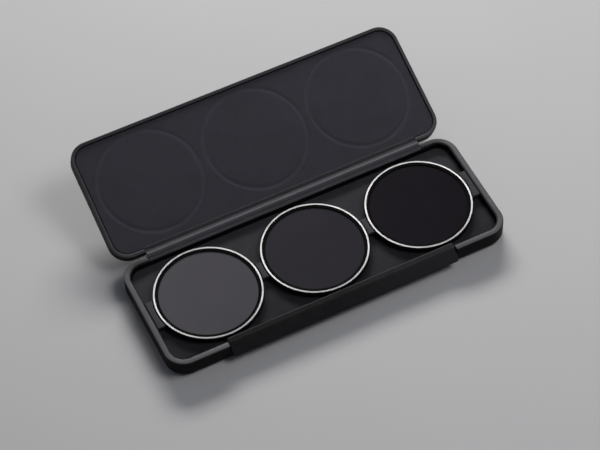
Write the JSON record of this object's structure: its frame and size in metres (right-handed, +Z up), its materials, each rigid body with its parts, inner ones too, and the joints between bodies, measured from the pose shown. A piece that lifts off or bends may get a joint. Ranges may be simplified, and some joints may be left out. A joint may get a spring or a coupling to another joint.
{
  "type": "lens filter case",
  "caption": "Slim hinged hard case lying open, with round tinted lens filters standing in a fitted tray, a padded lid and a magnetic front flap.",
  "frame": {"origin": "centre of the base's flat underside, on the table", "axes": "+X along the row of filters from the lightest glass to the densest, +Y from the front flap towards the lid's hinge, +Z up"},
  "size_m": [0.235, 0.1715, 0.0429],
  "materials": {
    "case_shell": "near-black textured shell, satin",
    "rim_band": "pale grey satin edge band",
    "tray_foam": "dark grey flocked foam",
    "felt": "black felt",
    "strap_fabric": "purple-grey woven strap",
    "lining_fabric": "purple-grey brushed lining",
    "padding": "closed-cell foam",
    "stiffener": "grey board",
    "leatherette": "dark grey grained leatherette",
    "magnet": "plated",
    "ring_black": "black anodised, top edge cut bright",
    "retainer_black": "matt black anodised",
    "glass_light": "polished neutral grey, lightest",
    "glass_mid": "polished neutral grey, middle",
    "glass_dark": "polished neutral grey, densest"
  },
  "bodies": {
    "base": {"base_shell": "case_shell", "rim_trim_left": "rim_band", "rim_trim_right": "rim_band", "tray_insert": "tray_foam", "pocket_pad_1": "felt", "pocket_pad_2": "felt", "pocket_pad_3": "felt", "hinge_strap_base_leaf": "strap_fabric", "flap_fold": "leatherette"},
    "lid": {"lid_shell": "case_shell", "lid_board": "stiffener", "lid_foam": "padding", "lid_lining": "lining_fabric", "lid_magnet_left": "magnet", "lid_magnet_right": "magnet", "hinge_strap_lid_leaf": "strap_fabric"},
    "flap": {"flap_skin": "leatherette", "flap_board": "stiffener", "flap_lining": "leatherette", "flap_magnet_left": "magnet", "flap_magnet_right": "magnet"},
    "filter_1": {"filter_1_ring": "ring_black", "filter_1_glass": "glass_light", "filter_1_retainer": "retainer_black"},
    "filter_2": {"filter_2_ring": "ring_black", "filter_2_glass": "glass_mid", "filter_2_retainer": "retainer_black"},
    "filter_3": {"filter_3_ring": "ring_black", "filter_3_glass": "glass_dark", "filter_3_retainer": "retainer_black"}
  },
  "joints": [
    {"name": "lid_hinge", "type": "hinge", "parent": "base", "child": "lid", "pos_m": [0, 0.04405, 0.01312], "axis": [-1, 0, 0], "range_deg": [-159, 21]},
    {"name": "flap_hinge", "type": "hinge", "parent": "base", "child": "flap", "pos_m": [0, -0.0397, 0.0125], "axis": [1, 0, 0], "range_deg": [-128, 0]},
    {"name": "filter_1_lift", "type": "slide", "parent": "base", "child": "filter_1", "axis": [0, 0, 1], "range_m": [0, 0.03]},
    {"name": "filter_2_lift", "type": "slide", "parent": "base", "child": "filter_2", "axis": [0, 0, 1], "range_m": [0, 0.03]},
    {"name": "filter_3_lift", "type": "slide", "parent": "base", "child": "filter_3", "axis": [0, 0, 1], "range_m": [0, 0.03]}
  ]
}
